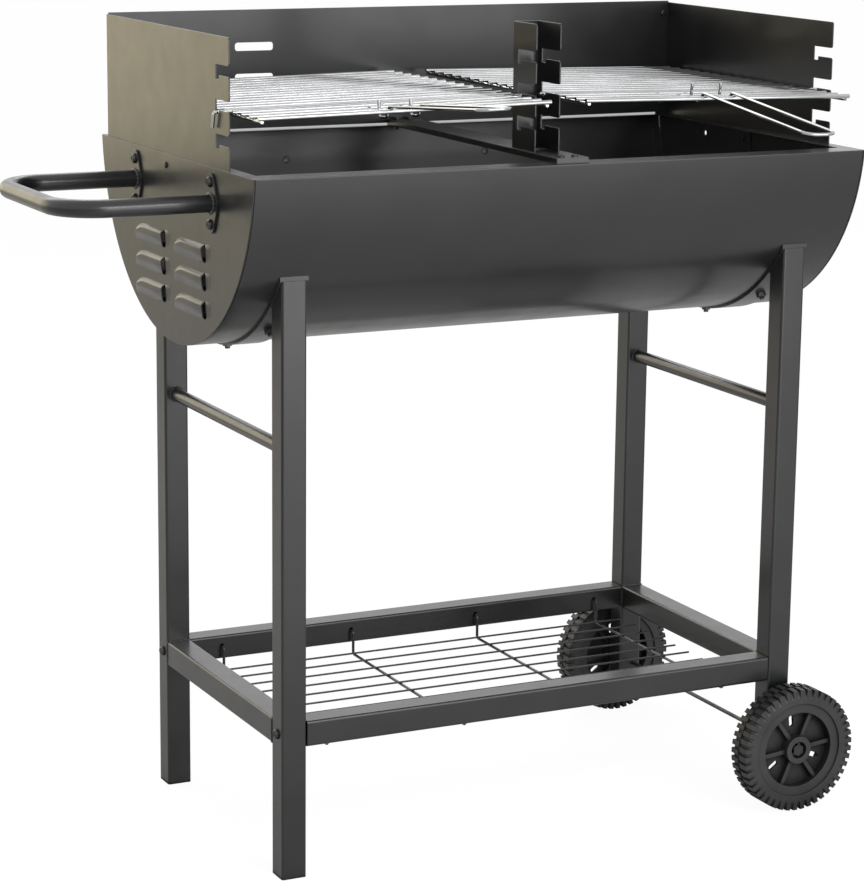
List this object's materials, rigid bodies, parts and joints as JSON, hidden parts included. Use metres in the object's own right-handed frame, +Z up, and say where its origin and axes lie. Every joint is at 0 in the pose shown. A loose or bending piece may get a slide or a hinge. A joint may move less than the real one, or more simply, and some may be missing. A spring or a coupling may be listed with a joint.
{
  "type": "half-barrel charcoal grill trolley",
  "caption": "Open half-barrel charcoal grill on a wheeled tube stand, with a notched windshield, wire cooking grates with folding handles, a push handle and a wire shelf.",
  "frame": {"origin": "middle of the bounding box's bottom, on the floor", "axes": "+X from the push handle to the wheels, +Y from the cook to the windshield, +Z up"},
  "size_m": [0.9654, 0.6652, 0.9505],
  "materials": {
    "black_paint": "satin",
    "chrome_wire": "bright plated wire",
    "dark_steel": "blackened",
    "black_plastic": "matte moulded"
  },
  "bodies": {
    "trolley": {"fire_bowl": "black_paint", "rear_windshield": "black_paint", "left_end_plate": "black_paint", "right_end_plate": "black_paint", "left_windshield": "black_paint", "right_windshield": "black_paint", "left_saddle": "black_paint", "right_saddle": "black_paint", "left_brace": "black_paint", "right_brace": "black_paint", "left_rail": "black_paint", "right_rail": "black_paint", "windshield_screws": "dark_steel", "centre_bar": "black_paint", "centre_post": "black_paint", "bar_screws": "dark_steel", "push_handle": "black_paint", "handle_flanges": "black_paint", "handle_bolts": "dark_steel", "handle_nuts": "dark_steel", "front_left_leg": "black_paint", "rear_left_leg": "black_paint", "front_right_leg": "black_paint", "rear_right_leg": "black_paint", "leg_plugs": "black_plastic", "saddle_bolts": "dark_steel", "saddle_nuts": "dark_steel", "front_rail": "black_paint", "rear_rail": "black_paint", "rail_bolts": "dark_steel", "wire_shelf": "black_paint", "axle": "dark_steel", "axle_spacers": "dark_steel", "axle_washers": "dark_steel", "axle_nuts": "dark_steel"},
    "left_charcoal_grate": {"left_charcoal_grate": "black_paint"},
    "right_charcoal_grate": {"right_charcoal_grate": "black_paint"},
    "left_grate": {"left_grate": "chrome_wire"},
    "right_grate": {"right_grate": "chrome_wire"},
    "left_grate_handle": {"left_grate_handle": "chrome_wire"},
    "right_grate_handle": {"right_grate_handle": "chrome_wire"},
    "front_wheel": {"front_wheel": "black_plastic"},
    "rear_wheel": {"rear_wheel": "black_plastic"}
  },
  "joints": [
    {"name": "front_wheel_spin", "type": "hinge", "parent": "trolley", "child": "front_wheel", "pos_m": [0.40675, -0.12436, 0.076], "axis": [0, 1, 0], "continuous": true},
    {"name": "rear_wheel_spin", "type": "hinge", "parent": "trolley", "child": "rear_wheel", "pos_m": [0.40675, 0.31664, 0.076], "axis": [0, 1, 0], "continuous": true},
    {"name": "left_grate_lift", "type": "slide", "parent": "trolley", "child": "left_grate", "axis": [0, 0, 1], "range_m": [0, 0.0045]},
    {"name": "right_grate_lift", "type": "slide", "parent": "trolley", "child": "right_grate", "axis": [0, 0, 1], "range_m": [0, 0.0045]},
    {"name": "left_handle_fold", "type": "hinge", "parent": "left_grate", "child": "left_grate_handle", "pos_m": [-0.11578, -0.11973, 0.86559], "axis": [-0.9998, 0, -0.0177], "range_deg": [-11, 154]},
    {"name": "right_handle_fold", "type": "hinge", "parent": "right_grate", "child": "right_grate_handle", "pos_m": [0.27828, -0.11973, 0.86559], "axis": [-0.9998, 0, 0.0177], "range_deg": [0, 165]},
    {"name": "left_charcoal_lift", "type": "slide", "parent": "trolley", "child": "left_charcoal_grate", "axis": [0, 0, 1], "range_m": [0, 0.12]},
    {"name": "right_charcoal_lift", "type": "slide", "parent": "trolley", "child": "right_charcoal_grate", "axis": [0, 0, 1], "range_m": [0, 0.12]}
  ]
}
